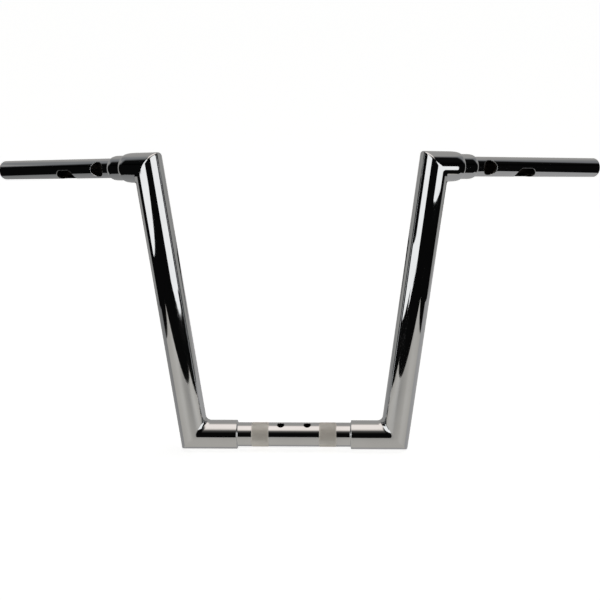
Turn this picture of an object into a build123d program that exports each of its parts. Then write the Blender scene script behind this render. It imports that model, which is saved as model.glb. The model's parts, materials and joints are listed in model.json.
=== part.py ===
from build123d import *
import math
import os

# Fat-tube motorcycle handlebar with mitred corners, made of round steel tubes that telescope
# and are welded. Millimetres. X runs across the motorcycle, Y back to the rider, Z up.
# The origin is on the centre tube's axis, midway between the two risers that hold the bar.

# Tube stock. Every tube has the same wall, so each size nominally fills the next one's bore.
grip_diameter = 25.4
tube_wall = 3.175
spigot_relief = 0.2  # turned off the radius of a tube end, so that it slips into the next bore

# Centre tube
riser_spacing = 88.9
knurl_length = 22.5
knurl_rise = 0.2  # the diamonds' crests stand this much above the smooth tube
smooth_length = 18.8  # smooth tube between a knurled band and the sleeve's end
wire_hole_diameter = 9.5
wire_hole_spacing = 34.8
wire_hole_elevation = 72.0  # degrees up from straight ahead

# Corners and uprights, measured between the points where the tubes' axes cross
sleeve_length = 57.5  # lower corner to the sleeve's inner end
rise = 355.6
upright_lean = 48.0  # the upper corner stands this much further out than the lower one

# Grip ends, measured along the grip's axis
grip_sweep = 36.0  # degrees back from straight across
grip_droop = 6.0  # degrees down
stub_length = 37.8  # upper corner to the stub's end
collar_length = 23.6  # collar showing beyond the stub
grip_length = 215.6  # grip tube showing beyond the collar

# Shoulders, rounds and inner ends
stub_nose_length = 13.3
collar_nose_length = 9.0
sleeve_end_round = 1.2
grip_end_round = 2.4
corner_gap = 6.8  # a spigot stops this far short of the corner's inner bend
collar_seat_gap = 3.0  # the grip tube stops this far short of the collar's inner end

# Welds
mitre_weld_width = 4.0
weld_leg = 1.2

# Openings in each grip tube for the switch wires
hole_width = 18.0
hole_length = 22.0
hole_position = 21.5  # from the collar's end to the hole's centre
hole_elevation = 0.0  # degrees up from straight ahead
slot_length = 32.5
hole_to_slot = 63.2
slot_elevation = -48.0

# Sizes that follow
grip_radius = grip_diameter / 2
collar_radius = grip_radius + tube_wall
fat_radius = collar_radius + tube_wall
fat_bore = fat_radius - tube_wall
sleeve_end = riser_spacing / 2 + knurl_length / 2 + smooth_length
half_base = sleeve_end + sleeve_length
collar_end = stub_length + collar_length
grip_end = collar_end + grip_length
up = Vector(0, 0, 1)


def inward(side):
    """Direction of the base tube, from a lower corner to the centre."""
    return Vector(-side, 0, 0)


def along_upright(side):
    """Direction of an upright, from its lower corner to its upper one."""
    return Vector(side * upright_lean, 0, rise).normalized()


def along_grip(side):
    """Direction of a grip, from the upper corner to its outer end."""
    sweep = math.radians(grip_sweep)
    droop = math.radians(grip_droop)
    across = side * math.cos(sweep) * math.cos(droop)
    back = math.sin(sweep) * math.cos(droop)
    return Vector(across, back, -math.sin(droop))


def lower_corner(side):
    return Vector(side * half_base, 0, 0)


def upper_corner(side):
    return Vector(side * (half_base + upright_lean), 0, rise)


def corner_reach(one, other):
    """How far a fat tube's outside runs past the point where two axes cross."""
    half_turn = math.radians(one.get_angle(other)) / 2
    return fat_radius / math.tan(half_turn)


def mitre(corner, kept, other, offset):
    """Mitre plane of two tubes, moved by offset towards the kept one, which is on its top side."""
    normal = (kept - other).normalized()
    return Plane(origin=corner + normal * offset, z_dir=normal)


def facing(side, elevation):
    """Direction square to a grip, turned up from straight ahead by an elevation in degrees."""
    ahead = along_grip(side).cross(up).normalized() * side
    above = ahead.cross(along_grip(side)).normalized() * side
    angle = math.radians(elevation)
    return ahead * math.cos(angle) + above * math.sin(angle)


def ring(origin, direction, outline):
    """Revolve an outline of (distance along, radius) points about a tube's axis."""
    square = direction.cross(Vector(0, 1, 0)).normalized()
    with BuildSketch(Plane(origin=origin, x_dir=direction, z_dir=square)) as profile:
        with BuildLine():
            Polyline(*outline, close=True)
        make_face()
    revolve(profile.sketch, axis=Axis(origin, direction))


def nosed_tube(origin, direction, start, end, outer, bore, nose_length, end_radius):
    """A tube about an axis, whose outside drops in a quarter ellipse to end_radius at its end."""
    square = direction.cross(Vector(0, 1, 0)).normalized()
    nose_start = end - nose_length
    with BuildSketch(Plane(origin=origin, x_dir=direction, z_dir=square)) as profile:
        with BuildLine():
            Polyline((end, end_radius), (end, bore), (start, bore), (start, outer), (nose_start, outer))
            EllipticalCenterArc((nose_start, end_radius), nose_length, outer - end_radius, arc_size=90)
        make_face()
    revolve(profile.sketch, axis=Axis(origin, direction))


def fillet_weld(origin, direction, end, tube_radius):
    """A fillet weld from the end face of a sleeve to the smaller tube that comes out of it."""
    toe = end + weld_leg
    spigot_radius = tube_radius - spigot_relief
    root = [(end, spigot_radius), (toe, spigot_radius)]
    face = [(toe, tube_radius), (end, tube_radius + weld_leg)]
    ring(origin, direction, root + face)


def weld_half(corner, kept, other):
    """One tube's half of the butt weld ring about a mitre plane."""
    reach = corner_reach(kept, other) + 2 * mitre_weld_width
    with BuildPart() as half:
        with BuildSketch(Plane(origin=corner - kept * reach, z_dir=kept)):
            Circle(fat_radius)
            Circle(fat_bore, mode=Mode.SUBTRACT)
        extrude(amount=2 * reach)
        split(bisect_by=mitre(corner, kept, other, 0), keep=Keep.TOP)
        split(bisect_by=mitre(corner, kept, other, mitre_weld_width / 2), keep=Keep.BOTTOM)
    return half.part


def save(part, label):
    part.label = label
    export_step(part, f"parts/{label}.step")


os.makedirs("parts", exist_ok=True)

# Centre tube: knurled where the risers clamp it, with turned-down ends inside the lower sleeves
spigot_end = half_base - corner_reach(inward(1), along_upright(1)) - corner_gap
with BuildPart() as clamp_tube:
    with BuildSketch(Plane.YZ):
        Circle(collar_radius - spigot_relief)
    extrude(amount=spigot_end, both=True)
    with BuildSketch(Plane.YZ):
        Circle(collar_radius)
    extrude(amount=sleeve_end - weld_leg, both=True)
    for side in (-1, 1):
        with BuildSketch(Plane.YZ.offset(side * riser_spacing / 2)):
            Circle(collar_radius + knurl_rise)
        extrude(amount=knurl_length / 2, both=True)
    with BuildSketch(Plane.YZ):
        Circle(collar_radius - tube_wall)
    extrude(amount=spigot_end, both=True, mode=Mode.SUBTRACT)
    wire_angle = math.radians(wire_hole_elevation)
    wire_direction = Vector(0, -math.cos(wire_angle), math.sin(wire_angle))
    for side in (-1, 1):
        with BuildSketch(Plane(origin=(side * wire_hole_spacing / 2, 0, 0), z_dir=wire_direction)):
            Circle(wire_hole_diameter / 2)
        extrude(amount=fat_radius, mode=Mode.SUBTRACT)
save(clamp_tube.part, "clamp_tube")

for side, name in ((-1, "left"), (1, "right")):
    base = inward(side)
    upright_way = along_upright(side)
    grip_way = along_grip(side)
    low = lower_corner(side)
    high = upper_corner(side)
    low_reach = corner_reach(base, upright_way)
    high_reach = corner_reach(-upright_way, grip_way)
    weld_edge = mitre_weld_width / 2

    # Lower sleeve: over the centre tube's end, mitred at the lower corner
    with BuildPart() as lower_sleeve:
        sleeve_tip = fat_radius - sleeve_end_round
        inner_end = -2 * low_reach
        nosed_tube(
            low, base, inner_end, sleeve_length, fat_radius, fat_bore, sleeve_end_round, sleeve_tip
        )
        split(bisect_by=mitre(low, base, upright_way, weld_edge), keep=Keep.TOP)
    save(lower_sleeve.part, f"{name}_lower_sleeve")

    # Upright: mitred at both ends
    with BuildPart() as upright:
        with BuildSketch(Plane(origin=low - upright_way * 2 * low_reach, z_dir=upright_way)):
            Circle(fat_radius)
            Circle(fat_bore, mode=Mode.SUBTRACT)
        extrude(amount=(high - low).length + 2 * low_reach + 2 * high_reach)
        split(bisect_by=mitre(low, upright_way, base, weld_edge), keep=Keep.TOP)
        split(bisect_by=mitre(high, -upright_way, grip_way, weld_edge), keep=Keep.TOP)
    save(upright.part, f"{name}_upright")

    # Upper stub: mitred, with a long rounded shoulder where the step collar comes out
    with BuildPart() as upper_stub:
        stub_tip = collar_radius + weld_leg
        inner_end = -2 * high_reach
        nosed_tube(
            high, grip_way, inner_end, stub_length, fat_radius, fat_bore, stub_nose_length, stub_tip
        )
        split(bisect_by=mitre(high, grip_way, -upright_way, weld_edge), keep=Keep.TOP)
    save(upper_stub.part, f"{name}_upper_stub")

    # Step collar: its inner end is turned down to slip into the stub
    collar_start = high_reach + corner_gap
    collar_shoulder = stub_length + weld_leg
    with BuildPart() as step_collar:
        collar_bore = collar_radius - tube_wall
        spigot_radius = collar_radius - spigot_relief
        ring(
            high,
            grip_way,
            [
                (collar_start, collar_bore),
                (collar_shoulder, collar_bore),
                (collar_shoulder, spigot_radius),
                (collar_start, spigot_radius),
            ],
        )
        collar_tip = grip_radius + weld_leg
        nosed_tube(
            high,
            grip_way,
            collar_shoulder,
            collar_end,
            collar_radius,
            collar_bore,
            collar_nose_length,
            collar_tip,
        )
    save(step_collar.part, f"{name}_step_collar")

    # Grip tube: its inner end is turned down to slip into the collar, its outer edge is rounded
    grip_start = collar_start + collar_seat_gap
    grip_shoulder = collar_end + weld_leg
    grip_bore = grip_radius - tube_wall
    with BuildPart() as grip_tube:
        spigot_radius = grip_radius - spigot_relief
        ring(
            high,
            grip_way,
            [
                (grip_start, grip_bore),
                (grip_shoulder, grip_bore),
                (grip_shoulder, spigot_radius),
                (grip_start, spigot_radius),
            ],
        )
        grip_tip = grip_radius - grip_end_round
        nosed_tube(
            high, grip_way, grip_shoulder, grip_end, grip_radius, grip_bore, grip_end_round, grip_tip
        )
        hole_centre = high + grip_way * (collar_end + hole_position)
        with BuildSketch(Plane(origin=hole_centre, x_dir=grip_way, z_dir=facing(side, hole_elevation))):
            SlotOverall(hole_length, hole_width)
        extrude(amount=fat_radius, mode=Mode.SUBTRACT)
        slot_centre = hole_centre + grip_way * hole_to_slot
        with BuildSketch(Plane(origin=slot_centre, x_dir=grip_way, z_dir=facing(side, slot_elevation))):
            SlotOverall(slot_length, hole_width)
        extrude(amount=fat_radius, mode=Mode.SUBTRACT)
    save(grip_tube.part, f"{name}_grip_tube")

    # Butt welds that fill the two mitres through the wall
    mitres = (("lower", low, base, upright_way), ("upper", high, -upright_way, grip_way))
    for level, corner, one, other in mitres:
        halves = (weld_half(corner, one, other), weld_half(corner, other, one))
        with BuildPart() as mitre_weld:
            for half in halves:
                add(half)
        save(mitre_weld.part, f"{name}_{level}_mitre_weld")

    # Fillet welds at the three steps in diameter
    with BuildPart() as sleeve_weld:
        fillet_weld(low, base, sleeve_length, collar_radius)
    save(sleeve_weld.part, f"{name}_sleeve_weld")
    with BuildPart() as stub_weld:
        fillet_weld(high, grip_way, stub_length, collar_radius)
    save(stub_weld.part, f"{name}_stub_weld")
    with BuildPart() as collar_weld:
        fillet_weld(high, grip_way, collar_end, grip_radius)
    save(collar_weld.part, f"{name}_collar_weld")

print(f"width over grips {2 * (upper_corner(1) + along_grip(1) * grip_end).X:.1f} mm")
print(f"pull-back {(upper_corner(1) + along_grip(1) * grip_end).Y:.1f} mm, rise {rise:.1f} mm")
print(f"tubes {grip_diameter:.2f}, {2 * collar_radius:.2f} and {2 * fat_radius:.2f} mm")
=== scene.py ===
# %% [markdown]
# A motorcycle handlebar is a bench full of tube: three sizes of round steel tube that slide into each
# other, cut at an angle where the bar turns, welded, polished and chrome plated. Chrome has no colour of
# its own, so the eye reads it from two things only: how true the surface is, and what stands around it.
# This lesson builds both. We start by loading the engineering model, which is the fixed frame that every
# visible piece is built on.

# %% Load the frame
import json
import math

import bpy
import numpy as np
from mathutils import Matrix, Vector


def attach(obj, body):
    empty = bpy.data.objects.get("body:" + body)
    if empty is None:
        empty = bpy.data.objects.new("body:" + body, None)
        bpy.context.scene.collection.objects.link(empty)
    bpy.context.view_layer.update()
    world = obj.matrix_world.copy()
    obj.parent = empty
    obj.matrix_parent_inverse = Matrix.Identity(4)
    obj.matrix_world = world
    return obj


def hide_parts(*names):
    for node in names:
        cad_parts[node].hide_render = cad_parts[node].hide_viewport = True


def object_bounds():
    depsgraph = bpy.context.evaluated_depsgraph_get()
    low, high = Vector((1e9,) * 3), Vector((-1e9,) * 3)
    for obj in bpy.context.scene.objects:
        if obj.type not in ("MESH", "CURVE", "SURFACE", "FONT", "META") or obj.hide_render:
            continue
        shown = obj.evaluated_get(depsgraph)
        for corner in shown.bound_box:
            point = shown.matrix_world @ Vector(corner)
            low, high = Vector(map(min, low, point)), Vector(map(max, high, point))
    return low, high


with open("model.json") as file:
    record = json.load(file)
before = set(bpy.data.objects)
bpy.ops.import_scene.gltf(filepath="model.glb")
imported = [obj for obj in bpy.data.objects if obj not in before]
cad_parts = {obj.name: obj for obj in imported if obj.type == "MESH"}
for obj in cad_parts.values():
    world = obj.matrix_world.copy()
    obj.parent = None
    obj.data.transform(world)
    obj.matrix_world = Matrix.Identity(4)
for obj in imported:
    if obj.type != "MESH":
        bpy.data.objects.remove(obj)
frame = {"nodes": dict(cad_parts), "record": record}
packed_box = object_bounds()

print("nodes in the frame:", len(frame["nodes"]))

# %% [markdown]
# We don't type in where the tubes are: we measure the frame. Two small helpers do it. One says how far a
# node runs along a line, as a rule laid beside the tube would, and the other how far its points lie from
# that line, as a caliper would. The record's mounts give the clamping bands, the grips and the wire holes.

# %% Measure the frame
MM = 0.001
mounts = {mount["name"]: mount for mount in frame["record"]["mounts"]}


def unit(vector):
    return np.asarray(vector, float) / np.linalg.norm(vector)


def points_of(node):
    return np.array([vertex.co[:] for vertex in frame["nodes"][node].data.vertices])


def span(node, origin, way):
    """Nearest and furthest distance of a node's points from origin, along a direction."""
    along = (points_of(node) - origin) @ way
    return along.min(), along.max()


def radii(node, origin, way):
    """Smallest and largest distance of a node's points from a line."""
    out = points_of(node) - origin
    out = out - np.outer(out @ way, way)
    distance = np.linalg.norm(out, axis=1)
    return distance.min(), distance.max()


across = np.array([1.0, 0.0, 0.0])
centre = np.array(mounts["riser_pair"]["pos_m"], float)
fat_bore, fat_radius = radii("left_lower_sleeve", centre, across)
clamp_bore, knurl_crest = radii("clamp_tube", centre, across)
grip_line = [np.array(mounts["left_grip"][key], float) for key in ("pos_m", "axis")]
clamp_radius = radii("left_step_collar", *grip_line)[1]
spigot_relief = clamp_radius - radii("left_sleeve_weld", centre, across)[0]
spigot_end = span("clamp_tube", centre, across)[1]
sleeve_end, weld_end = sorted(abs(x) for x in span("left_sleeve_weld", centre, across))[::-1]
weld_leg = sleeve_end - weld_end
print(f"fat tube {2 * fat_radius / MM:.2f} mm, bore {2 * fat_bore / MM:.2f} mm")
print(f"clamp tube crest {2 * knurl_crest / MM:.2f} mm, bore {2 * clamp_bore / MM:.2f} mm")
print(f"fillet weld leg {weld_leg / MM:.2f} mm")

# %% [markdown]
# An upright leans outwards, and it is cut at an angle at both ends. A slanted cut through a round tube is
# an ellipse, and the middle of an ellipse's box is its centre, which lies on the tube's axis. So the
# middles of the two cut ends give us the axis, and the axes' crossings give the bar's four corners.

# %% Find the four corners
def cut_centre(points):
    return (points.min(axis=0) + points.max(axis=0)) / 2


def upright_axis(name):
    points = points_of(f"{name}_upright")
    top = points[:, 2] > points[:, 2].mean()
    low, high = cut_centre(points[~top]), cut_centre(points[top])
    return low, unit(high - low)


sides = []
for side, name in ((-1, "left"), (1, "right")):
    grip_way = unit(mounts[f"{name}_grip"]["axis"])
    grip_middle = np.array(mounts[f"{name}_grip"]["pos_m"], float)
    upper = grip_middle - grip_way * grip_middle[1] / grip_way[1]
    on_axis, upright_way = upright_axis(name)
    lower = on_axis - upright_way * on_axis[2] / upright_way[2]
    lower[1] = 0
    upright_way = unit(upper - lower)
    sides.append((side, name, lower, upper, -side * across, upright_way, grip_way))
    print(name, "corners", np.round(lower / MM, 2), np.round(upper / MM, 2), "mm")

# %% [markdown]
# Every piece is a skin of four-sided faces, and every face corner carries its own normal. On chrome that
# matters more than the number of faces: if the normals are the true ones of a round tube, a reflection
# runs down it without a kink, and it crosses from one piece to the next without showing the joint. Each
# corner also carries its distance round the tube and along it, in metres, for the polishing marks.

# %% A skin of faces with true normals
MERGE = 1e-6


def add_object(name, data):
    made = bpy.data.objects.new(name, data)
    bpy.context.scene.collection.objects.link(made)
    return made


class Skin:
    """Faces of one piece. Corners in the same place become one vertex."""

    def __init__(self):
        self.parts = []

    def add(self, places, normals, lay, finish=0):
        """Adds faces: places and normals are (count, 4, 3), lay is (count, 4, 2)."""
        self.parts.append((places, normals, lay, np.full(len(places), finish)))

    def add_flat(self, places, towards, lay, finish=0):
        """Adds flat faces. Each one's normal is on the side of its direction in towards."""
        normal = np.cross(places[:, 2] - places[:, 0], places[:, 3] - places[:, 1])
        normal *= np.sign(np.einsum("ij,ij->i", normal, towards))[:, None]
        normal /= np.linalg.norm(normal, axis=1)[:, None]
        self.add(places, np.repeat(normal[:, None], 4, axis=1), lay, finish)

    def strip(self, near, far, finish=0):
        """Fills between two rings, each given as places, normals and lay."""
        pair = [np.stack([a[:-1], a[1:], b[1:], b[:-1]], axis=1) for a, b in zip(near, far)]
        self.add(*pair, finish)

    def loft(self, rings, finish=0):
        for near, far in zip(rings, rings[1:]):
            self.strip(near, far, finish)

    def piece(self, name, materials):
        """Makes the mesh object, which rides on the bar and stands for the node of its name."""
        places, normals, lay, finish = (np.concatenate(part) for part in zip(*self.parts))
        turn = np.cross(places[:, 2] - places[:, 0], places[:, 3] - places[:, 1])
        wrong = np.einsum("ij,ij->i", turn, normals.mean(axis=1)) < 0
        for values in (places, normals, lay):
            values[wrong] = values[wrong, ::-1]
        keys = np.round(places.reshape(-1, 3) / MERGE).astype(np.int64)
        _, first, spot = np.unique(keys, axis=0, return_index=True, return_inverse=True)
        spot = spot.reshape(-1, 4)
        keep = spot != np.roll(spot, 1, axis=1)
        whole = keep.sum(axis=1) > 2
        spot, keep, normals, lay, finish = (v[whole] for v in (spot, keep, normals, lay, finish))
        faces = [corners[kept].tolist() for corners, kept in zip(spot, keep)]
        mesh = bpy.data.meshes.new(name + "_mesh")
        mesh.from_pydata(places.reshape(-1, 3)[first].tolist(), [], faces)
        for material in materials:
            mesh.materials.append(material)
        mesh.polygons.foreach_set("material_index", finish)
        mesh.polygons.foreach_set("use_smooth", np.ones(len(faces), bool))
        uv = mesh.uv_layers.new(name="lay")
        uv.data.foreach_set("uv", lay[keep].ravel().astype(np.float32))
        mesh.update()
        mesh.normals_split_custom_set(normals[keep].tolist())
        made = add_object(name + "_visible", mesh)
        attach(made, "root")
        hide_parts(name)
        print(f"{name}: {len(faces)} faces")


print("corners merge within", MERGE / MM, "mm")

# %% [markdown]
# A tube is an axis and a set of angles round it. A ring is the tube's edge at one distance along, or at a
# distance that changes with the angle, which is what a slanted cut is. The ring's last point repeats its
# first one, so that a distance measured round the tube doesn't jump back to zero on the last face.

# %% A tube's rings
class Tube:
    def __init__(self, origin, way, first, segments, start=0.0):
        self.origin, self.way = np.asarray(origin, float), unit(way)
        self.first = unit(first - self.way * np.dot(first, self.way))
        self.second = np.cross(self.way, self.first)
        self.angles = start + np.linspace(0, 2 * math.pi, segments + 1)
        self.angles[-1] = self.angles[0] + 2 * math.pi

    def out(self, angles=None):
        """Directions straight out from the axis."""
        angles = self.angles if angles is None else np.asarray(angles)
        return np.cos(angles)[..., None] * self.first + np.sin(angles)[..., None] * self.second

    def at(self, along, radius, angles=None):
        out = self.out(angles)
        along = np.broadcast_to(along, out.shape[:-1])
        radius = np.broadcast_to(radius, out.shape[:-1])
        return self.origin + along[..., None] * self.way + radius[..., None] * out

    def ring(self, along, radius, lean=(0, 1), angles=None):
        """A ring whose normals lean along the axis and out from it."""
        slope = unit(lean)
        angles = self.angles if angles is None else angles
        normals = self.out(angles) * slope[1] + self.way * slope[0]
        along = np.broadcast_to(along, angles.shape)
        lay = np.stack([angles * fat_radius, along + (fat_radius - radius)], axis=1)
        return self.at(along, radius, angles), normals, lay


# %% [markdown]
# Most of the bar's shapes are turned: a nose, a step, a bead, a rounded edge. As on a lathe, we draw half
# of the outline and spin it. A straight cut keeps one normal from end to end, and a round one takes its
# normal from the ellipse itself, so the light slides round a shoulder as it does on polished steel.

# %% Turned outlines
ROUND_STEPS = 12


def cut(start, end, inside=False):
    """A straight stretch of outline between two (along, radius) points."""
    lean = np.array([start[1] - end[1], end[0] - start[0]])
    lean = -lean if inside else lean
    return [(*start, lean), (*end, lean)]


def bend(middle, length, height, start, end, hollow=False):
    """A round stretch: part of an ellipse about middle, between two angles in degrees."""
    made = []
    for angle in np.radians(np.linspace(start, end, ROUND_STEPS)):
        lean = np.array([math.cos(angle) / length, math.sin(angle) / height])
        lean = -lean if hollow else lean
        place = (middle[0] + length * math.cos(angle), middle[1] + height * math.sin(angle))
        made.append((*place, lean))
    return made


def turned(skin, tube, outline, finish=0):
    """Spins stretches of outline about the tube's axis."""
    for stretch in outline:
        skin.loft([tube.ring(along, radius, lean) for along, radius, lean in stretch], finish)


print("rings in a round stretch:", ROUND_STEPS)

# %% [markdown]
# Colours are written as hex values, as a paint chart gives them, and one function turns them into the
# linear values that light adds up in. One more function adds a node, sets it and links it, so a material
# below reads as a list of what is on the surface.

# %% Colour and node helpers
def linear(hex_colour):
    """An sRGB hex colour as linear red, green, blue and 1."""
    values = [int(hex_colour[i : i + 2], 16) / 255 for i in (1, 3, 5)]
    return [v / 12.92 if v <= 0.04045 else ((v + 0.055) / 1.055) ** 2.4 for v in values] + [1.0]


def add_node(tree, kind, settings=None, **inputs):
    """Adds a node. An input is a value, or a (node, output) pair to link from."""
    node = tree.nodes.new("ShaderNode" + kind)
    for key, value in (settings or {}).items():
        setattr(node, key, value)
    for key, value in inputs.items():
        place = int(key[1:]) if key[0] == "i" and key[1:].isdigit() else key.replace("_", " ")
        if isinstance(value, tuple) and isinstance(value[0], bpy.types.Node):
            tree.links.new(value[0].outputs[value[1]], node.inputs[place])
        else:
            node.inputs[place].default_value = value
    return node


def empty_tree(owner):
    """The node tree of a material or a world, cleared."""
    owner.use_nodes = True
    owner.node_tree.nodes.clear()
    return owner.node_tree


def new_material(name):
    """A material with its shader, its output and the piece's own round-and-along measure."""
    material = bpy.data.materials.new(name)
    tree = empty_tree(material)
    shader = add_node(tree, "BsdfPrincipled")
    add_node(tree, "OutputMaterial", Surface=(shader, "BSDF"))
    lay = add_node(tree, "UVMap", {"uv_map": "lay"})
    return material, tree, shader, lay


def add_marks(tree, lay, round_mm, along_mm, detail=2.0):
    """Noise whose marks are round_mm long round the tube and along_mm long down it."""
    scale = (1 / (round_mm * MM), 1 / (along_mm * MM), 1)
    marks = add_node(tree, "Mapping", Vector=(lay, "UV"), Scale=scale)
    return add_node(tree, "TexNoise", Vector=(marks, "Vector"), Scale=1.0, Detail=detail)


def add_patches(tree, size_mm, detail=2.0):
    """Noise in space, so that it runs on from one piece to the next without a break."""
    space = add_node(tree, "TexCoord")
    scale = 1 / (size_mm * MM)
    return add_node(tree, "TexNoise", Vector=(space, "Object"), Scale=scale, Detail=detail)


def add_tint(tree, share, one, other):
    """A mix of two colours, each given as a value or as a (node, output) pair."""
    return add_node(tree, "Mix", {"data_type": "RGBA"}, i0=share, i6=one, i7=other)


def link_metal(tree, shader, tint, rough, bump):
    tree.links.new(tint.outputs[2], shader.inputs["Base Color"])
    tree.links.new(rough.outputs["Result"], shader.inputs["Roughness"])
    tree.links.new(bump.outputs["Normal"], shader.inputs["Normal"])
    shader.inputs["Metallic"].default_value = 1.0


print("middle grey:", round(linear("#808080")[0], 3))

# %% [markdown]
# The bar's finish is decorative chrome: a layer far thinner than a hair, plated over nickel on steel that
# was belt-ground and then buffed on a wheel. The plating copies what lies beneath it, so what the eye
# gets is a mirror with three faults in it. The belt leaves shallow waves a couple of centimetres long,
# which make straight reflections swim a little. The wheel leaves fine lines round the tube, which soften
# the mirror one way. And handling leaves a haze in patches. Wheel lines are about a tenth of a
# millimetre apart, too fine to show, so they are drawn at six tenths.

# %% Polished chrome
CHROME = "#D3D5D8"
CHROME_SHADE = "#C8C9CB"
WHEEL_LINE = 0.6
WHEEL_STROKE = 26.0
BELT_WAVE = 17.0
HAZE_PATCH = 38.0
HAZE_FROM, HAZE_TO = 0.35, 0.75


def plated(name, wave_depth, line_depth, clear, hazed, bright=CHROME, shade=CHROME_SHADE):
    """Chrome plate: depths are in metres, clear and hazed are the roughness range."""
    material, tree, shader, lay = new_material(name)
    haze = add_patches(tree, HAZE_PATCH, 4.0)
    waves = add_patches(tree, BELT_WAVE, 1.0)
    lines = add_marks(tree, lay, WHEEL_STROKE, WHEEL_LINE, 3.0)
    patch = {"To_Min": clear, "To_Max": hazed, "From_Min": HAZE_FROM, "From_Max": HAZE_TO}
    rough = add_node(tree, "MapRange", Value=(haze, "Fac"), **patch)
    tint = add_tint(tree, (haze, "Fac"), linear(bright), linear(shade))
    wavy = add_node(tree, "Bump", Height=(waves, "Fac"), Distance=wave_depth)
    fine = {"Distance": line_depth, "Normal": (wavy, "Normal")}
    lined = add_node(tree, "Bump", Height=(lines, "Fac"), **fine)
    link_metal(tree, shader, tint, rough, lined)
    return material


polish = {"wave_depth": 16e-6, "line_depth": 0.5e-6, "clear": 0.02, "hazed": 0.07}
polished_chrome = plated("polished_chrome", **polish)
print("made", polished_chrome.name)

# %% [markdown]
# A knurl is pressed, not polished, and plating builds up on its crests and hardly reaches its grooves. So
# the same chrome is frosted there. The welds were ground flush by hand before plating, and a hand grinder
# leaves deeper waves than a belt does.

# %% Knurled chrome and weld chrome
frost = {"wave_depth": 4e-6, "line_depth": 1.2e-6, "clear": 0.5, "hazed": 0.65}
knurled_chrome = plated("knurled_chrome", **frost, bright="#DCDAD6", shade="#CECCC8")
hand_ground = {"wave_depth": 22e-6, "line_depth": 0.6e-6, "clear": 0.02, "hazed": 0.08}
weld_chrome = plated("weld_chrome", **hand_ground)
print("made", knurled_chrome.name, weld_chrome.name)

# %% [markdown]
# Nobody buffs the inside of a tube. It keeps the grey skin of drawn steel, with lines that run along the
# tube from the drawing die and a breath of brown where the plating bath left it bare. It shows through
# the wire openings and at the open ends.

# %% Bare steel of the bores
STEEL = "#77736E"
STEEL_BROWN = "#5E5044"
DIE_LINE = 0.5
DIE_STROKE = 30.0
DIE_DEPTH = 8e-6
BARE_PATCH = 14.0
STEEL_CLEAR, STEEL_DULL = 0.34, 0.6


def drawn_steel():
    material, tree, shader, lay = new_material("drawn_steel")
    patches = add_patches(tree, BARE_PATCH, 5.0)
    lines = add_marks(tree, lay, DIE_LINE, DIE_STROKE, 2.0)
    tint = add_tint(tree, (patches, "Fac"), linear(STEEL), linear(STEEL_BROWN))
    dulled = {"To_Min": STEEL_CLEAR, "To_Max": STEEL_DULL}
    rough = add_node(tree, "MapRange", Value=(patches, "Fac"), **dulled)
    ridged = add_node(tree, "Bump", Height=(lines, "Fac"), Distance=DIE_DEPTH)
    link_metal(tree, shader, tint, rough, ridged)
    return material


bore_steel = drawn_steel()
print("made", bore_steel.name)
PLATE, BORE, KNURL = 0, 1, 2

# %% [markdown]
# A mitred corner is two tubes sawn at half the corner's angle and butted together. Think of the tube as a
# bundle of straight lines, like dry spaghetti: each line runs to the saw cut and turns there. On the
# outside of the corner the welder's grinder leaves a small round, and in the crotch the weld fills the
# sharp inner angle with a larger one. So each line gets its own bend, small outside and large inside,
# and as every bend leaves its line smoothly, nothing shows at the seam.

# %% Mitred corners
OUTER_ROUND = 2.0 * MM
WELD_HALF = 2.0 * MM
WELD_STEPS = 16


class Corner:
    """Where two tubes of the fat size meet. Both ways lead away from the corner."""

    def __init__(self, place, one, other, crotch_round):
        self.place, self.ways = place, (unit(one), unit(other))
        self.half = math.acos(np.dot(*self.ways)) / 2
        self.inward = unit(self.ways[0] + self.ways[1])
        self.cross = unit(self.ways[0] - self.ways[1])
        self.normal = unit(np.cross(*self.ways))
        self.crotch_round = crotch_round

    def firsts(self):
        """For each tube, the direction square to it that faces the crotch."""
        pairs = (self.ways, self.ways[::-1])
        return [unit(other - way * np.dot(way, other)) for way, other in pairs]

    def meet(self, facing, radius):
        """How far along its tube a line turns, from how much it faces the crotch."""
        return radius * facing / math.tan(self.half)

    def rounding(self, facing):
        blend = ((1 + facing) / 2) ** 2
        return OUTER_ROUND + (self.crotch_round - OUTER_ROUND) * blend

    def seam(self, facing, radius=None):
        """How far along its tube a line leaves the weld metal."""
        bead = WELD_HALF / math.sin(self.half)
        if radius is not None:
            return self.meet(facing, radius) + bead
        tangent = self.rounding(facing) / math.tan(self.half)
        return self.meet(facing, fat_radius) + np.maximum(bead, tangent)

    def line_point(self, angle, share):
        """A point on the bend of the line at an angle from the crotch, from 0 to 1 across the bend."""
        facing = np.cos(angle)
        round_ = self.rounding(facing)
        turn = self.place + self.inward * (facing * fat_radius / math.sin(self.half))[:, None]
        turn = turn + self.normal * (fat_radius * np.sin(angle))[:, None]
        middle = turn + self.inward * (round_ / math.sin(self.half))[:, None]
        swing = (0.5 - share) * (math.pi - 2 * self.half)
        spoke = -self.inward * math.cos(swing) + self.cross * math.sin(swing)
        return middle + spoke * round_[:, None]

    def bend_ring(self, angle, share):
        """Places and true normals of one ring across the bend."""
        nudge = 1e-4
        round_step = self.line_point(angle + nudge, share) - self.line_point(angle - nudge, share)
        across_step = self.line_point(angle, share + nudge) - self.line_point(angle, share - nudge)
        normals = np.cross(round_step, across_step)
        normals /= np.linalg.norm(normals, axis=1)[:, None]
        one, other = self.firsts()
        facing = np.cos(angle)[:, None] * unit(one * (1 - share) + other * share)
        outward = facing + np.sin(angle)[:, None] * self.normal
        normals *= np.sign(np.einsum("ij,ij->i", normals, outward))[:, None]
        return self.line_point(angle, share), normals


print("outer round", OUTER_ROUND / MM, "mm")

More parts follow.
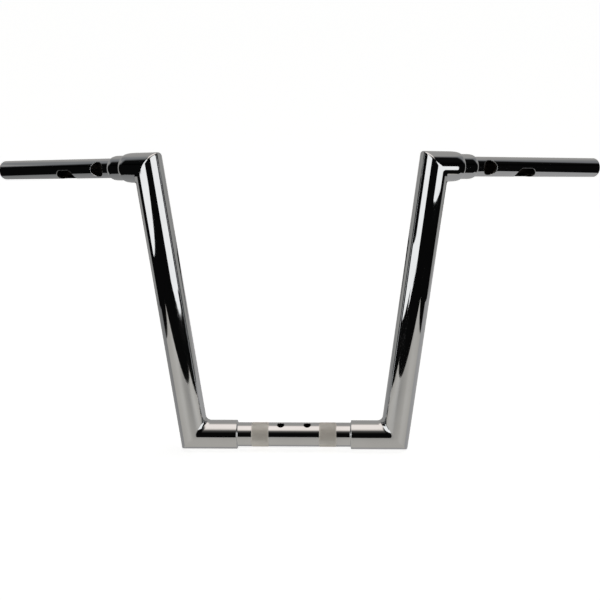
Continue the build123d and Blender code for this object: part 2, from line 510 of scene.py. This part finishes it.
# %% [markdown]
# The weld metal is a ring round the saw cut. Its outside is the bend of every line, and its inside is the
# plain inner angle, which nobody can reach to grind. At each side it ends where the lines are straight
# again, on the very points where the next tube's skin starts.

# %% The weld ring
FAT_SEGMENTS = 144
weld_finish = [weld_chrome, bore_steel]


def weld_ring(corner, name, start):
    """A mitre's weld metal. Angles are measured from the crotch, about the first tube."""
    skin = Skin()
    one, other = corner.firsts()
    near = Tube(corner.place, corner.ways[0], one, FAT_SEGMENTS, start)
    far = Tube(corner.place, corner.ways[1], other, FAT_SEGMENTS)
    angle = near.angles
    facing = np.cos(angle)
    lay = np.stack([angle * fat_radius, np.zeros_like(angle)], axis=1)
    seam = corner.seam(facing)
    near_edge = near.at(seam, fat_radius)
    far_edge = far.at(seam, fat_radius, -angle)
    rings = [(near_edge, near.out(), lay)]
    for step in range(WELD_STEPS + 1):
        share = step / WELD_STEPS
        rings.append((*corner.bend_ring(angle, share), lay + [0, share * corner.crotch_round]))
    rings.append((far_edge, far.out(-angle), lay + [0, corner.crotch_round]))
    skin.loft(rings)
    root_at = corner.seam(facing, fat_bore)
    fold_at = corner.meet(facing, fat_bore)
    for tube, turn, edge in ((near, angle, near_edge), (far, -angle, far_edge)):
        root, fold = (tube.at(along, fat_bore, turn) for along in (root_at, fold_at))
        skin.strip((root, -tube.out(turn), lay), (fold, -tube.out(turn), lay), BORE)
        square = np.repeat(tube.way[None], len(angle), axis=0)
        skin.strip((edge, square, lay), (root, square, lay), BORE)
    skin.piece(name, weld_finish)


print("steps across a mitre weld:", WELD_STEPS)

# %% [markdown]
# Steps in diameter carry a small fillet weld: a hollow quarter-round from the end of the larger tube to
# the side of the smaller one. It is turned like the rest, and it touches both without a crease, which is
# what a bead looks like once it is ground, polished and plated.

# %% The fillet weld
def fillet_ring(name, tube, toe_radius, end):
    skin = Skin()
    root, toe = toe_radius - spigot_relief, end + weld_leg
    turned(skin, tube, [bend((toe, toe_radius + weld_leg), weld_leg, weld_leg, 180, 270, hollow=True)])
    foot = cut((toe, toe_radius), (toe, root))
    back = cut((end, root), (end, toe_radius + weld_leg))
    turned(skin, tube, [foot, back, cut((end, root), (toe, root), inside=True)], BORE)
    skin.piece(name, weld_finish)


print(f"a bead's leg is {weld_leg / MM:.2f} mm")

# %% [markdown]
# The openings for the wires could be cut with a Boolean, but a Boolean leaves slivers along its edge, and
# chrome shows every one. Instead the skin is woven round each opening from the start: rings of points run
# from the opening's edge out to a rectangle of the tube's own grid. The edge itself is broken, as a
# deburring tool breaks it. A wall cut by a wide opening ends in a wedge, and the round that fits a wedge
# is found from its two faces' normals.

# %% Openings in a tube wall
EDGE_STEPS = 6
WEAVE_STEPS = 7
EDGE_BREAK = 0.4 * MM
INNER_BREAK = 0.2 * MM
NEVER_ZERO = 1e-9


class Opening:
    """A round-ended opening through one side of a tube, made square to the tube's axis."""

    def __init__(self, tube, along, angle, length, width):
        self.tube, self.along, self.angle = tube, along, angle
        self.half_length, self.half_width = length / 2, width / 2
        self.drill = tube.out(angle)
        self.side = tube.out(angle + math.pi / 2)

    def outline(self, x, y):
        """Where a line from the middle towards (x, y) meets the outline, and the outline's normal."""
        straight = self.half_length - self.half_width
        flat = self.half_width / np.maximum(np.abs(y), NEVER_ZERO)
        square = x * x + y * y
        reach = straight * np.abs(x)
        bow = (reach + np.sqrt(reach**2 + square * (self.half_width**2 - straight**2))) / square
        scale = np.where(flat * np.abs(x) <= straight, flat, bow)
        x, y = scale * x, scale * y
        past = np.maximum(np.abs(x) - straight, 0) * np.sign(x)
        return x, y, past / self.half_width, y / self.half_width

    def edge(self, x, y, radius, broken, inside):
        """Rings over the broken edge, from the tube's face to the opening's wall."""
        x, y, lean_x, lean_y = self.outline(x, y)
        depth = np.sqrt(radius**2 - y**2)
        out = y[:, None] * self.side + depth[:, None] * self.drill
        place = self.tube.origin + (self.along + x)[:, None] * self.tube.way + out
        face = out / radius * (-1 if inside else 1)
        wall = -(lean_x[:, None] * self.tube.way + lean_y[:, None] * self.side)
        facing = np.einsum("ij,ij->i", face, wall)
        middle = place - broken * (face + wall) / (1 + facing)[:, None]
        wedge = np.arccos(facing)
        lay = np.stack([x, y], axis=1)
        rings = []
        for share in np.linspace(0, 1, EDGE_STEPS):
            parts = np.sin((1 - share) * wedge)[:, None] * face + np.sin(share * wedge)[:, None] * wall
            normals = parts / np.sin(wedge)[:, None]
            rings.append((middle + broken * normals, normals, lay + share * broken))
        return rings

    def weave(self, skin, reach, rows, columns, radius, broken, inside, finish):
        """One face of the wall along the opening's stretch of tube. Gives the last ring of its edge."""
        tube, lean = self.tube, (0, -1 if inside else 1)
        step = tube.angles[1] - tube.angles[0]
        near = self.angle + step * np.arange(-columns, columns + 1)
        rest = self.angle + step * np.arange(columns, len(tube.angles) - columns)
        along = self.along + np.linspace(-reach, reach, rows + 1)
        skin.loft([tube.ring(row, radius, lean, rest) for row in along], finish)
        corner = [near[:-1], np.full(rows, near[-1]), near[:0:-1], np.full(rows, near[0]), near[:1]]
        angle = np.concatenate(corner)
        first, last = np.full(2 * columns, along[0]), np.full(2 * columns, along[-1])
        row = np.concatenate([first, along[:-1], last, along[:0:-1], along[:1]])
        x = (row - self.along) / reach * self.half_length
        y = (angle - self.angle) / (step * columns) * self.half_width
        rings = self.edge(x, y, radius, broken, inside)
        start = rings[0][0] - tube.origin
        start_angle = self.angle + np.arctan2(start @ self.side, start @ self.drill)
        start_row = start @ tube.way
        shares = np.linspace(1, 0, WEAVE_STEPS)
        woven = []
        for share in shares:
            turned_to = start_angle + (angle - start_angle) * share
            woven.append(tube.ring(start_row + (row - start_row) * share, radius, lean, turned_to))
        skin.loft(woven, finish)
        skin.loft([(woven[-1][0], *rings[0][1:])] + rings[1:], PLATE)
        return rings[-1]

    def pierce(self, skin, reach, rows, columns, radius, bore):
        outer = self.weave(skin, reach, rows, columns, radius, EDGE_BREAK, False, PLATE)
        inner = self.weave(skin, reach, rows, columns, bore, INNER_BREAK, True, BORE)
        skin.strip(outer, inner, PLATE)


print("rings round an opening:", WEAVE_STEPS)

# %% [markdown]
# The knurl is what the risers bite on. A pair of wheels rolls two sets of slanted grooves into the tube,
# and what is left standing between them is a pattern of small pyramids. We could fake it with a bump map,
# but a knurl is a shape: it has an edge that shows against the light and it scatters every reflection. So
# each pyramid is built, with four flanks and the small flat that the plating leaves on its crest.

# %% Knurled band
DIAMONDS_ROUND = 80
DIAMONDS_LONG = 11
CREST_FLAT = 0.26
GROOVE_DEPTH = 0.42 * MM
BAND_BEVEL = 0.35 * MM
CLAMP_SEGMENTS = 2 * DIAMONDS_ROUND


def knurl_band(skin, tube, middle, length):
    start = middle - length / 2 + BAND_BEVEL
    rows = 2 * DIAMONDS_LONG
    row_step = (length - 2 * BAND_BEVEL) / rows
    turn = 2 * math.pi / CLAMP_SEGMENTS
    groove = knurl_crest - GROOVE_DEPTH

    def spot(i, j, radius):
        lay = np.stack([i * turn * radius, j * row_step], axis=1)
        return tube.at(start + j * row_step, radius, i * turn), lay

    def faces(corners, towards):
        places, lay = (np.stack(part, axis=1) for part in zip(*corners))
        skin.add_flat(places, towards, lay, KNURL)

    i, j = (grid.ravel() for grid in np.meshgrid(np.arange(CLAMP_SEGMENTS), np.arange(1, rows)))
    tip = (i + j) % 2 == 0
    i, j = i[tip], j[tip]
    round_ = ((-1, 0), (0, -1), (1, 0), (0, 1))
    low = [spot(i + a, j + b, groove) for a, b in round_]
    top = [spot(i + CREST_FLAT * a, j + CREST_FLAT * b, knurl_crest) for a, b in round_]
    out = tube.out(i * turn)
    for c in range(4):
        faces([low[c - 1], low[c], top[c], top[c - 1]], out)
    faces(top, out)
    i = np.arange(0, CLAMP_SEGMENTS, 2)
    for j, inner in ((0, 1), (rows, rows - 1)):
        edge = [spot(i + a, np.full(len(i), j), groove) for a in (-1, 0, 1)]
        peak = spot(i, np.full(len(i), inner), groove)
        for pair in (edge[:2], edge[1:]):
            faces([*pair, peak, peak], tube.out(i * turn))
    far = start + rows * row_step
    low_bevel = cut((start - BAND_BEVEL, clamp_radius), (start, groove))
    high_bevel = cut((far, groove), (far + BAND_BEVEL, clamp_radius))
    turned(skin, tube, [low_bevel, high_bevel], KNURL)


print(DIAMONDS_ROUND * (2 * DIAMONDS_LONG - 1), "pyramids on a band")

# %% [markdown]
# Now the pieces themselves, starting with the centre tube. Its two ends are turned down a hair to slip
# into the lower sleeves. Between them it has, from either side, a plain stretch, a knurled band under
# each riser, and two holes on top where the switch wires leave the bar.

# %% The centre tube
HOLE_MARGIN = 4.2 * MM
WIRE_ROWS, WIRE_COLUMNS = 14, 16

wire = mounts["left_wire_hole"]
wire_radius = wire["dims"]["r_mm"] * MM
wire_reach = wire_radius + HOLE_MARGIN
band = mounts["right_riser_band"]
band_middle, band_length = band["pos_m"][0], band["dims"]["length_mm"] * MM
clamp = Tube(centre, across, np.array(wire["axis"], float), CLAMP_SEGMENTS)
skin = Skin()
wire_place = abs(wire["pos_m"][0])
band_ends = (band_middle + band_length / 2, band_middle - band_length / 2)
plain = ((weld_end, band_ends[0]), (band_ends[1], wire_place + wire_reach))
middle_stop = wire_place - wire_reach
spigot = clamp_radius - spigot_relief


def level_stretch(ends, radius, finish, inside=False):
    """A straight stretch of the centre tube, with its ends in either order."""
    first, last = sorted(ends)
    turned(skin, clamp, [cut((first, radius), (last, radius), inside)], finish)


for side in (-1, 1):
    for outer, inner in plain:
        level_stretch((side * outer, side * inner), clamp_radius, PLATE)
    knurl_band(skin, clamp, side * band_middle, band_length)
    hole = Opening(clamp, side * wire_place, 0.0, 2 * wire_radius, 2 * wire_radius)
    hole.pierce(skin, wire_reach, WIRE_ROWS, WIRE_COLUMNS, clamp_radius, clamp_bore)
    end, shoulder = side * spigot_end, side * weld_end
    level_stretch((end, shoulder), spigot, BORE)
    level_stretch((end, side * plain[1][1]), clamp_bore, BORE, inside=True)
    rim = cut((end, spigot), (end, clamp_bore), inside=side < 0)
    step = cut((shoulder, clamp_radius), (shoulder, spigot), inside=side < 0)
    turned(skin, clamp, [rim, step], BORE)
level_stretch((-middle_stop, middle_stop), clamp_radius, PLATE)
level_stretch((-middle_stop, middle_stop), clamp_bore, BORE, inside=True)
clamp_materials = [polished_chrome, bore_steel, knurled_chrome]
skin.piece("clamp_tube", clamp_materials)

# %% [markdown]
# Each side is the same set of tubes, mirrored: a lower sleeve over the centre tube's end, an upright, an
# upper stub, a step collar and the grip tube, with weld metal between. A sleeve and a stub are one kind
# of piece: a fat tube from a mitre to a nose. The sleeve's nose is a small round. The stub's is long, and
# takes the bar down to the collar without a ledge.

# %% Sleeves and stubs
tube_finish = [polished_chrome, bore_steel]


def sleeve_or_stub(name, tube, corner, end, nose, tip_radius):
    """A fat tube from a mitre to a nosed end."""
    skin = Skin()
    facing = np.cos(tube.angles)
    start, root = corner.seam(facing), corner.seam(facing, fat_bore)
    skin.strip(tube.ring(start, fat_radius), tube.ring(end - nose, fat_radius), PLATE)
    taper = bend((end - nose, tip_radius), nose, fat_radius - tip_radius, 90, 0)
    turned(skin, tube, [taper, cut((end, tip_radius), (end, fat_bore))], PLATE)
    skin.strip(tube.ring(root, fat_bore, (0, -1)), tube.ring(end, fat_bore, (0, -1)), BORE)
    skin.strip(tube.ring(start, fat_radius, (-1, 0)), tube.ring(root, fat_bore, (-1, 0)), BORE)
    skin.piece(name, tube_finish)


print("sides of a fat tube:", FAT_SEGMENTS)

# %% [markdown]
# The upright is the plainest piece and the biggest mirror. It is one strip of long faces from weld to
# weld. With true normals it needs no rings between, and every face ends on the weld metal's own points.

# %% Uprights
def upright_tube(name, tube, low, high, length):
    """A fat tube between two mitres."""
    skin = Skin()
    out = tube.out()
    low_facing, high_facing = out @ low.firsts()[1], out @ high.firsts()[0]
    ends = [low.seam(low_facing), length - high.seam(high_facing)]
    roots = [low.seam(low_facing, fat_bore), length - high.seam(high_facing, fat_bore)]
    skin.strip(*[tube.ring(end, fat_radius) for end in ends], PLATE)
    skin.strip(*[tube.ring(root, fat_bore, (0, -1)) for root in roots], BORE)
    for end, root, lean in zip(ends, roots, ((-1, 0), (1, 0))):
        skin.strip(tube.ring(end, fat_radius, lean), tube.ring(root, fat_bore, lean), BORE)
    skin.piece(f"{name}_upright", tube_finish)


print("faces of an upright:", 4 * FAT_SEGMENTS)

# %% [markdown]
# The step collar plugs into the stub and takes the grip tube in turn. Only its middle shows: a short
# straight stretch and another long nose. What is hidden in the joint is modelled too, turned down a hair,
# so the piece is whole when the bar is taken apart.

# %% Step collars
COLLAR_NOSE = 9.0 * MM


def hidden_spigot(start, shoulder, radius, bore):
    """The turned-down end that slips into the next tube: its side, its end and its shoulder."""
    spigot = radius - spigot_relief
    side = cut((start, spigot), (shoulder, spigot))
    return [side, cut((start, bore), (start, spigot)), cut((shoulder, spigot), (shoulder, radius))]


def step_collar(name, tube, start, shoulder, end, tip_radius):
    skin = Skin()
    nose_start = end - COLLAR_NOSE
    turned(skin, tube, [cut((shoulder, clamp_radius), (nose_start, clamp_radius))], PLATE)
    nose = bend((nose_start, tip_radius), COLLAR_NOSE, clamp_radius - tip_radius, 90, 0)
    turned(skin, tube, [nose, cut((end, tip_radius), (end, clamp_bore))], PLATE)
    hidden = hidden_spigot(start, shoulder, clamp_radius, clamp_bore)
    hidden += [cut((start, clamp_bore), (end, clamp_bore), inside=True)]
    turned(skin, tube, hidden, BORE)
    skin.piece(f"{name}_step_collar", tube_finish)


print("collar's nose:", COLLAR_NOSE / MM, "mm")

# %% [markdown]
# The grip tube is one inch, the size that throttles and levers are made for. Near the collar it has a
# wide hole that faces ahead, and further out a slot that faces ahead and down, where the plugs of the
# switch housings go in. Its open end has a rounded edge, so that a rubber grip slides on.

# %% Grip tubes
GRIP_ROUND = 2.4 * MM
OPENING_WIDTH = 18.0 * MM
HOLE_PLACE, HOLE_LENGTH = 21.5 * MM, 22.0 * MM
SLOT_PLACE, SLOT_LENGTH = 84.7 * MM, 32.5 * MM
SLOT_TURN = math.radians(-48)
SWITCH_ROWS, SWITCH_COLUMNS = 22, 28


def grip_tube(name, tube, start, collar_end, end, radius, bore):
    skin = Skin()
    shoulder = collar_end + weld_leg
    above = 1 if np.cross(tube.way, tube.first)[2] > 0 else -1
    hole = Opening(tube, collar_end + HOLE_PLACE, 0.0, HOLE_LENGTH, OPENING_WIDTH)
    slot = Opening(tube, collar_end + SLOT_PLACE, above * SLOT_TURN, SLOT_LENGTH, OPENING_WIDTH)
    stops = []
    for opening in (hole, slot):
        reach = opening.half_length + HOLE_MARGIN
        opening.pierce(skin, reach, SWITCH_ROWS, SWITCH_COLUMNS, radius, bore)
        stops += [opening.along - reach, opening.along + reach]
    tail, rim = end - GRIP_ROUND, radius - GRIP_ROUND
    plain = ((shoulder, stops[0]), (stops[1], stops[2]), (stops[3], tail))
    outer = [cut((first, radius), (last, radius)) for first, last in plain]
    outer += [bend((tail, rim), GRIP_ROUND, GRIP_ROUND, 90, 0), cut((end, rim), (end, bore))]
    turned(skin, tube, outer, PLATE)
    hidden = hidden_spigot(start, shoulder, radius, bore)
    for first, last in ((start, stops[0]), (stops[1], stops[2]), (stops[3], end)):
        hidden.append(cut((first, bore), (last, bore), inside=True))
    turned(skin, tube, hidden, BORE)
    skin.piece(f"{name}_grip_tube", tube_finish)


print("hole and slot:", HOLE_PLACE / MM, "and", SLOT_PLACE / MM, "mm from the collar")

# %% [markdown]
# Now both sides are put together from what the frame gave us. The rings of a tube, its two welds and its
# neighbour all start from the corner's own directions, so their points fall on each other exactly.

# %% Both sides
LOWER_CROTCH_ROUND, UPPER_CROTCH_ROUND = 8.0 * MM, 6.0 * MM
GRIP_SEGMENTS = 120
SLEEVE_ROUND = 1.2 * MM
STUB_NOSE = 13.3 * MM

for side, name, lower, upper, base_way, upright_way, grip_way in sides:
    low = Corner(lower, base_way, upright_way, LOWER_CROTCH_ROUND)
    high = Corner(upper, -upright_way, grip_way, UPPER_CROTCH_ROUND)

    sleeve_length = span(f"{name}_lower_sleeve", lower, base_way)[1]
    sleeve = Tube(lower, base_way, low.firsts()[0], FAT_SEGMENTS)
    mouth = fat_radius - SLEEVE_ROUND
    sleeve_or_stub(f"{name}_lower_sleeve", sleeve, low, sleeve_length, SLEEVE_ROUND, mouth)
    weld_ring(low, f"{name}_lower_mitre_weld", 0.0)

    upright = Tube(lower, upright_way, low.firsts()[1], FAT_SEGMENTS)
    upright_tube(name, upright, low, high, np.linalg.norm(upper - lower))
    start = math.atan2(upright.first @ high.normal, upright.first @ high.firsts()[0])
    weld_ring(high, f"{name}_upper_mitre_weld", start)

    stub_end = span(f"{name}_stub_weld", upper, grip_way)[0]
    stub = Tube(upper, grip_way, high.firsts()[1], FAT_SEGMENTS, -start)
    sleeve_or_stub(f"{name}_upper_stub", stub, high, stub_end, STUB_NOSE, clamp_radius + weld_leg)
    fillet_ring(f"{name}_sleeve_weld", sleeve, clamp_radius, sleeve_length)
    fillet_ring(f"{name}_stub_weld", stub, clamp_radius, stub_end)

    ahead = np.cross(grip_way, (0, 0, 1)) * side
    grip = Tube(upper, grip_way, ahead, GRIP_SEGMENTS)
    collar_start, collar_end = span(f"{name}_step_collar", upper, grip_way)
    grip_start, grip_end = span(f"{name}_grip_tube", upper, grip_way)
    grip_bore, grip_radius = radii(f"{name}_grip_tube", upper, grip_way)
    step_collar(name, grip, collar_start, stub_end + weld_leg, collar_end, grip_radius + weld_leg)
    fillet_ring(f"{name}_collar_weld", grip, grip_radius, collar_end)
    grip_tube(name, grip, grip_start, collar_end, grip_end, grip_radius, grip_bore)

# %% [markdown]
# The bar stands on a plain pale floor. In a real studio chrome is lit inside a tent of cards, because
# whatever is in the room is in the mirror. We do the same, and as a studio hides its cards from the lens,
# ours are seen only by reflections. The floor is the other way round: the lens sees it, and the chrome
# sees a grey table in its place.

# %% The floor
FLOOR_HALF = 12.0
FLOOR_ROUGHNESS = 0.9
FLOOR_GLOW = 0.8
floor_level = packed_box[0][2]


def scenery(name, points, faces, material, seen_by_lens=False):
    """An object that the lens and the lamp see, or that only reflections see."""
    mesh = bpy.data.meshes.new(name + "_mesh")
    mesh.from_pydata(points, [], faces)
    mesh.materials.append(material)
    made = add_object(name, mesh)
    made.visible_camera = made.visible_diffuse = made.visible_shadow = seen_by_lens
    made.visible_glossy = not seen_by_lens
    print("stage:", name)
    return made


def stage_card(name, corners, material, seen_by_lens=False):
    """A flat card from four corners in metres."""
    card = scenery(name, corners, [(0, 1, 2, 3)], material, seen_by_lens)


def level_card(name, half_width, first, last, level, material, seen_by_lens=False):
    """A level card between two places along Y, as wide to the left as to the right."""
    ends = ((-1, first), (1, first), (1, last), (-1, last))
    corners = [(x * half_width, y, level) for x, y in ends]
    stage_card(name, corners, material, seen_by_lens)


floor_paint, tree, shader, _ = new_material("floor_paint")
shader.inputs["Base Color"].default_value = linear("#F2F2F0")
shader.inputs["Roughness"].default_value = FLOOR_ROUGHNESS
shader.inputs["Emission Color"].default_value = linear("#FFFFFF")
shader.inputs["Emission Strength"].default_value = FLOOR_GLOW
level_card("floor", FLOOR_HALF, -FLOOR_HALF, FLOOR_HALF, floor_level, floor_paint, seen_by_lens=True)

# %% [markdown]
# The tent is a half-round of cloth overhead. Its top is warm white, which gives each level tube its
# bright top line, and it fades to grey at the back and sides. In front it is open to a dark room, and
# that is what draws the black line along the tubes. The hex colours are what chrome shows, so the cloth
# and the cards are made brighter by what the plating swallows.

# %% The tent
PLATE_SHINE = 0.66
TENT_STEPS = 48
TENT_RADIUS = 1.7
TENT_HALF_WIDTH = 5.0
TENT_OPENING = math.radians(28)
WING_START, WING_FULL = 1.0, 1.35
DUSK_START, DUSK_FULL = 2.6, 4.9
SKY = ((0, "#0A0A0A"), (30, "#0B0B0B"), (40, "#353432"), (48, "#575552"), (56, "#B7B0AA"), (64, "#E8E0D8"))
SKY += ((75, "#EEE5DE"), (100, "#EEE5DE"), (107, "#B4ADA7"), (116, "#969490"), (125, "#918F8C"))
SKY += ((150, "#918F8C"), (158, "#949391"), (180, "#8A8885"))
WING = ((0, "#0A0A0A"), (106, "#0B0B0B"), (115, "#747576"), (180, "#7A7A7A"))


def tent_cloth():
    """The cloth's colour goes with the angle round the tent, in degrees from front to back."""
    material = bpy.data.materials.new("tent_cloth")
    tree = empty_tree(material)
    space = add_node(tree, "TexCoord")
    parts = add_node(tree, "SeparateXYZ", Vector=(space, "Object"))
    ahead = add_node(tree, "Math", {"operation": "MULTIPLY"}, i0=(parts, "Y"), i1=-1.0)
    angle = add_node(tree, "Math", {"operation": "ARCTAN2"}, i0=(parts, "Z"), i1=(ahead, "Value"))
    share = add_node(tree, "Math", {"operation": "DIVIDE"}, i0=(angle, "Value"), i1=math.pi)
    ramps = []
    for colours in (SKY, WING):
        ramps.append(add_node(tree, "ValToRGB", Fac=(share, "Value")))
        stops = ramps[-1].color_ramp.elements
        stops[0].color, stops[1].color = linear(colours[0][1]), linear(colours[-1][1])
        for degrees, colour in colours[1:-1]:
            stops.new(degrees / 180).color = linear(colour)
    aside = add_node(tree, "Math", {"operation": "ABSOLUTE"}, i0=(parts, "X"))
    edge = {"From_Min": WING_START, "From_Max": WING_FULL}
    grey = add_node(tree, "MapRange", Value=(aside, "Value"), **edge)
    cloth = add_tint(tree, (grey, "Result"), (ramps[0], "Color"), (ramps[1], "Color"))
    fade = {"From_Min": DUSK_START, "From_Max": DUSK_FULL, "To_Min": 1.0, "To_Max": 0.0}
    dusk = add_node(tree, "MapRange", Value=(aside, "Value"), **fade)
    bright = add_node(tree, "Math", {"operation": "MULTIPLY"}, i0=(dusk, "Result"), i1=1 / PLATE_SHINE)
    light = add_node(tree, "Emission", Color=(cloth, 2), Strength=(bright, "Value"))
    add_node(tree, "OutputMaterial", Surface=(light, "Emission"))
    return material


tent_points = []
for step in range(TENT_STEPS + 1):
    turn = TENT_OPENING + (math.pi - TENT_OPENING) * step / TENT_STEPS
    for x in (-TENT_HALF_WIDTH, TENT_HALF_WIDTH):
        tent_points.append((x, -TENT_RADIUS * math.cos(turn), TENT_RADIUS * math.sin(turn)))
tent_faces = [(2 * step, 2 * step + 1, 2 * step + 3, 2 * step + 2) for step in range(TENT_STEPS)]
tent = scenery("tent", tent_points, tent_faces, tent_cloth())

# %% [markdown]
# White soft boxes stand left and right, and the tubes show them as bright bars. The near ones are so near
# that the two uprights see them differently, so a far one on each side serves the upright across from
# it. The near left one steps down towards the back. A grey wall on each side closes the tent.

# %% Soft boxes and side walls
def glow(name, hex_colour):
    """A material that shows in chrome as the given colour."""
    material = bpy.data.materials.new(name)
    tree = empty_tree(material)
    light = add_node(tree, "Emission", Color=linear(hex_colour), Strength=1 / PLATE_SHINE)
    add_node(tree, "OutputMaterial", Surface=(light, "Emission"))
    return material


def standing_card(name, ends, feet, top, material):
    """A card on edge over two points of the floor plan, with a height for the foot of each end."""
    (one, other), (low_one, low_other) = ends, feet
    stage_card(name, [(*one, low_one), (*other, low_other), (*other, top), (*one, top)], material)


def bearing_card(name, bearings, place, distance, feet, top, material):
    """A standing card between two bearings, in degrees from straight ahead of a place."""
    turns = [math.radians(bearing) for bearing in bearings]
    x, y = place
    ends = [(x + distance * math.sin(turn), y - distance * math.cos(turn)) for turn in turns]
    standing_card(name, ends, feet, top, material)


white = glow("soft_box_white", "#EFEFED")
left_foot, right_foot = (-0.16, 0.0), (0.17, 0.0)
LEFT_BOX_FRONT, LEFT_BOX_MIDDLE, LEFT_BOX_BACK = (-0.55, -1.56), (-0.706, -0.458), (-0.744, -0.19)
LEFT_BOX_FEET = (0.045, 0.045)
LEFT_BOX_TOP, LEFT_STEP_TOP = 0.95, 0.19
standing_card("left_soft_box", (LEFT_BOX_FRONT, LEFT_BOX_MIDDLE), LEFT_BOX_FEET, LEFT_BOX_TOP, white)
standing_card("left_soft_box_step", (LEFT_BOX_MIDDLE, LEFT_BOX_BACK), LEFT_BOX_FEET, LEFT_STEP_TOP, white)

# name, bearings, place, distance, foot heights and top
BEARING_BOXES = (
    ("far_left_soft_box", (-45, -25), right_foot, 5.0, (-0.6, -0.6), 2.0),
    ("right_soft_box", (30, 76.5), right_foot, 0.75, (0.135, 0.105), 0.375),
    ("far_right_soft_box", (33, 74), left_foot, 5.0, (-0.5, -0.34), 2.0),
)
for name, *measures in BEARING_BOXES:
    bearing_card(name, *measures, white)
wall_grey = glow("side_wall_grey", "#8A8986")
# the same for both walls: place, distance, foot heights and top
WALL = ((0, 0), 1.5, (-0.45, -0.45), 1.0)
for side in (-1, 1):
    bearing_card(f"side_wall_{side}", (side * 104, side * 140), *WALL, wall_grey)

# %% [markdown]
# The undersides of the tubes show the table. It is a grey glowing card in two halves. The front one has a
# painted shadow in the middle, where somebody stands in its light, and the back one has painted shade at
# the left.

# %% The table
def table_glow_with_painted_shade(name, near, far, middle, reach):
    """The table's glow with painted shade: one colour at a middle, another at a reach from it in metres.
    """
    material, tree, shader, _ = new_material(name)
    space = add_node(tree, "TexCoord")
    offset = tuple(-value / size for value, size in zip(middle, reach))
    scale = tuple(1 / size for size in reach)
    moved = add_node(tree, "Mapping", Vector=(space, "Object"), Location=offset, Scale=scale)
    away = add_node(tree, "VectorMath", {"operation": "LENGTH"}, Vector=(moved, "Vector"))
    # the first colour is the painted shade at the middle, the second the lit table beyond its reach
    tint = add_tint(tree, (away, "Value"), linear(near), linear(far))
    shader.inputs["Base Color"].default_value = linear("#000000")
    shader.inputs["Emission Strength"].default_value = 1 / PLATE_SHINE
    tree.links.new(tint.outputs[2], shader.inputs["Emission Color"])
    return material


TABLE_LEVEL = -0.065
NO_FADE = 100.0
# half width, ends along Y, colours, and the middle and reach of the first colour, which is the painted
# shade
TABLE_PARTS = {
    "front": (0.66, (-0.575, 0.0), ("#8A8884", "#A19E98"), (0, -0.45, TABLE_LEVEL), (0.36, 0.36, 1.0)),
    "back": (0.8, (0.0, 1.68), ("#6E6E6D", "#929190"), (-0.8, 0, TABLE_LEVEL), (1.2, NO_FADE, 1.0)),
}
for name, (half_width, ends, colours, middle, reach) in TABLE_PARTS.items():
    paint = table_glow_with_painted_shade(f"table_{name}", *colours, middle, reach)
    level_card(f"table_{name}", half_width, *ends, TABLE_LEVEL, paint)

# %% [markdown]
# One large soft lamp overhead lights the floor and lays a faint shadow under the bar. It doesn't show in
# the chrome, where the tent's top stands for it. The world is white for the lens and dark for everything
# else, as a white wall far behind a dark studio would be.

# %% Lamp and world
LAMP_SPREAD, LAMP_STRENGTH = math.radians(70), 0.75
LAMP_LEAN = (math.radians(-12), math.radians(8), 0)
lamp_data = bpy.data.lights.new("soft_lamp", "SUN")
lamp_data.angle, lamp_data.energy = LAMP_SPREAD, LAMP_STRENGTH
lamp = add_object("soft_lamp", lamp_data)
lamp.rotation_euler = LAMP_LEAN
lamp.visible_glossy = False

world = bpy.data.worlds.new("studio")
bpy.context.scene.world = world
tree = empty_tree(world)
ray = add_node(tree, "LightPath")
wall = add_node(tree, "Background", Color=linear("#FFFFFF"))
dark = add_node(tree, "Background", Color=linear("#0C0C0C"))
sides_seen = {"i1": (dark, "Background"), "i2": (wall, "Background")}
mixed = add_node(tree, "MixShader", i0=(ray, "Is Camera Ray"), **sides_seen)
add_node(tree, "OutputWorld", Surface=(mixed, "Shader"))
print("lamp strength", lamp_data.energy, "and world", world.name)

# %% [markdown]
# The camera is a long lens two metres off, a little to the right and a little above, tipped by less than
# a degree. A long lens keeps the two uprights the same width, as a catalogue picture does.

# %% Camera
VIEW_TURN, VIEW_TILT, VIEW_ROLL = math.radians(-2.86), math.radians(14.17), math.radians(-0.72)
VIEW_DISTANCE = 2.0
LENS, SENSOR = 91.1, 36.0
aim = Vector((0.0076, 0.0438, 0.1716))
camera_data = bpy.data.cameras.new("camera")
camera_data.lens, camera_data.sensor_width = LENS, SENSOR
camera = add_object("camera", camera_data)
turned_view = Matrix.Rotation(-VIEW_TURN, 4, "Z") @ Matrix.Rotation(math.pi / 2 - VIEW_TILT, 4, "X")
turned_view = turned_view @ Matrix.Rotation(VIEW_ROLL, 4, "Z")
camera.matrix_world = Matrix.Translation(aim) @ turned_view @ Matrix.Translation((0, 0, VIEW_DISTANCE))
bpy.context.scene.camera = camera
bpy.context.scene.view_settings.view_transform = "Standard"
print("camera at", [round(v, 4) for v in camera.matrix_world.translation])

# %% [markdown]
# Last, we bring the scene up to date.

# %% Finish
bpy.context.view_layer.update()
